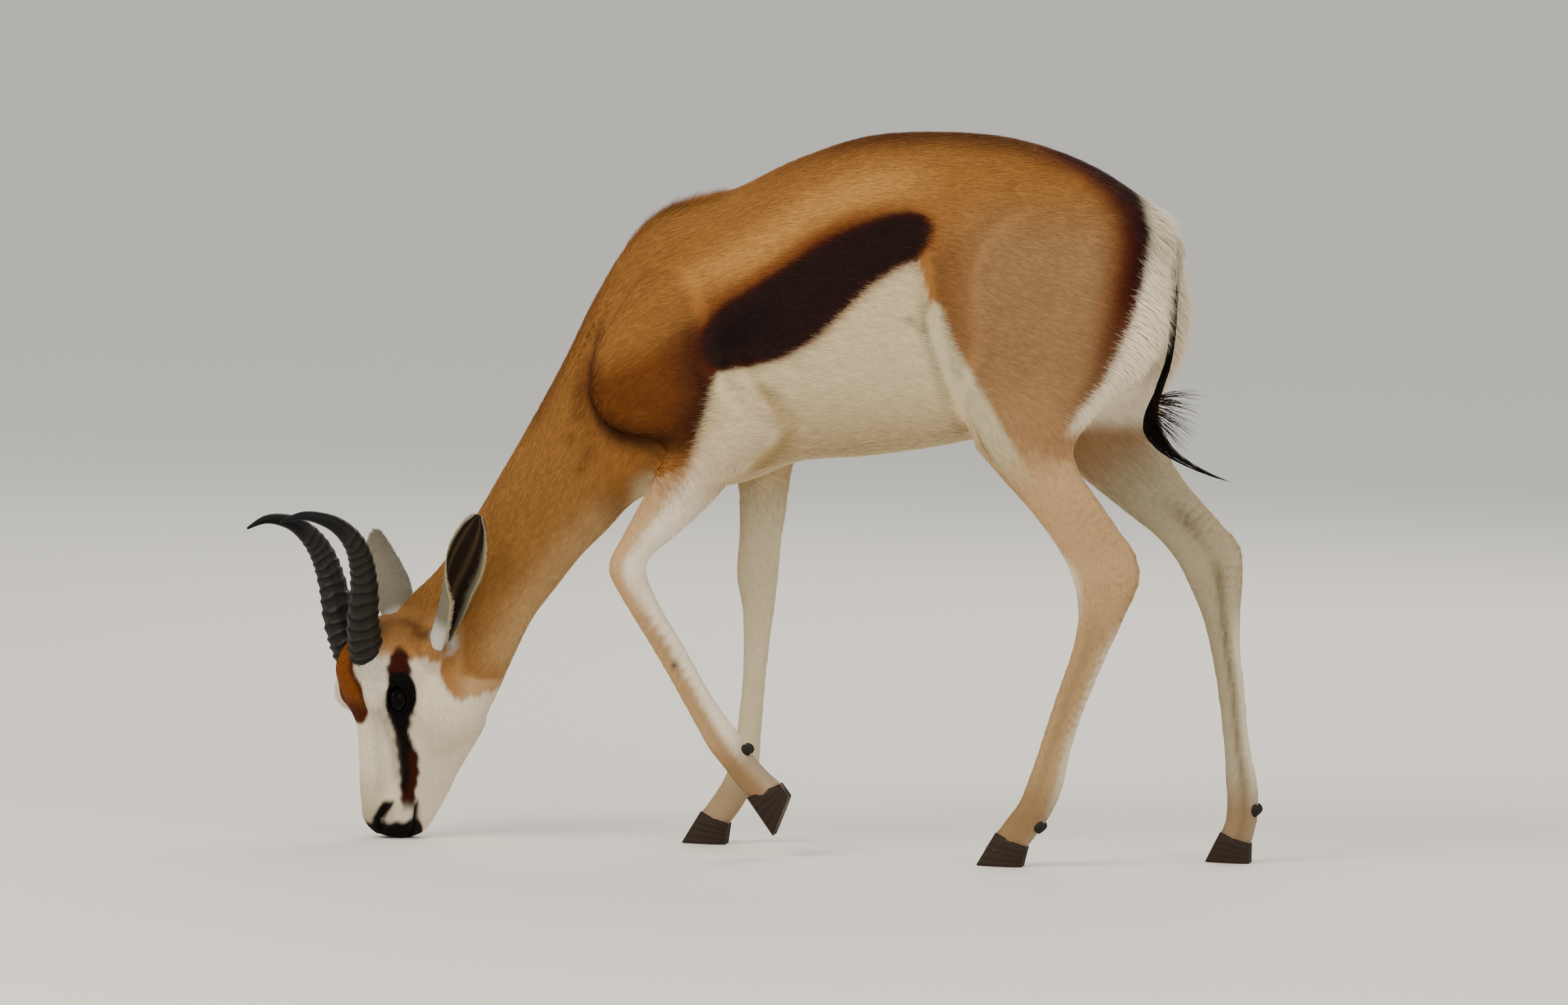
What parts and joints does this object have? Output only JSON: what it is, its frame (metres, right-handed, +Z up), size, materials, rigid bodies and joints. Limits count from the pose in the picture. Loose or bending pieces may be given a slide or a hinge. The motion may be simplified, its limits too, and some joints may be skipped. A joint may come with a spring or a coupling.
{
  "type": "springbok",
  "caption": "Life-size standing springbok with its head down to graze and a forefoot lifted in mid-step, for a museum or landscape scene.",
  "frame": {"origin": "on the floor, under the middle of the whole animal's bounding box", "axes": "+X from the head to the tail, +Y to the animal's right side, +Z up"},
  "size_m": [1.089, 0.2872, 0.78],
  "materials": {
    "coat": "short flat hair, cinnamon with a white belly and rump and a dark flank band",
    "head_coat": "very short white hair with a dark stripe from the eye to the mouth",
    "ear": "short grey hair, thin at the rim",
    "tail": "white hair",
    "tail_tuft": "long black hair",
    "horn": "ringed horn, smooth and darker at the tip",
    "hoof": "dull worn horn",
    "dewclaw": "dull black horn",
    "eye": "wet and glossy"
  },
  "bodies": {
    "root": {"torso_rear": "coat", "torso_middle": "coat", "torso_front": "coat", "neck": "coat", "head": "head_coat", "horn_left": "horn", "ear_left": "ear", "eye_left": "eye", "horn_right": "horn", "ear_right": "ear", "eye_right": "eye", "fore_left_upper": "coat", "fore_left_cannon": "coat", "fore_left_pastern": "coat", "fore_left_claw_left": "hoof", "fore_left_dewclaw_left": "dewclaw", "fore_left_claw_right": "hoof", "fore_left_dewclaw_right": "dewclaw", "fore_right_upper": "coat", "fore_right_cannon": "coat", "fore_right_pastern": "coat", "fore_right_claw_left": "hoof", "fore_right_dewclaw_left": "dewclaw", "fore_right_claw_right": "hoof", "fore_right_dewclaw_right": "dewclaw", "hind_left_upper": "coat", "hind_left_cannon": "coat", "hind_left_pastern": "coat", "hind_left_claw_left": "hoof", "hind_left_dewclaw_left": "dewclaw", "hind_left_claw_right": "hoof", "hind_left_dewclaw_right": "dewclaw", "hind_right_upper": "coat", "hind_right_cannon": "coat", "hind_right_pastern": "coat", "hind_right_claw_left": "hoof", "hind_right_dewclaw_left": "dewclaw", "hind_right_claw_right": "hoof", "hind_right_dewclaw_right": "dewclaw", "tail": "tail", "tail_tuft": "tail_tuft"}
  },
  "joints": []
}
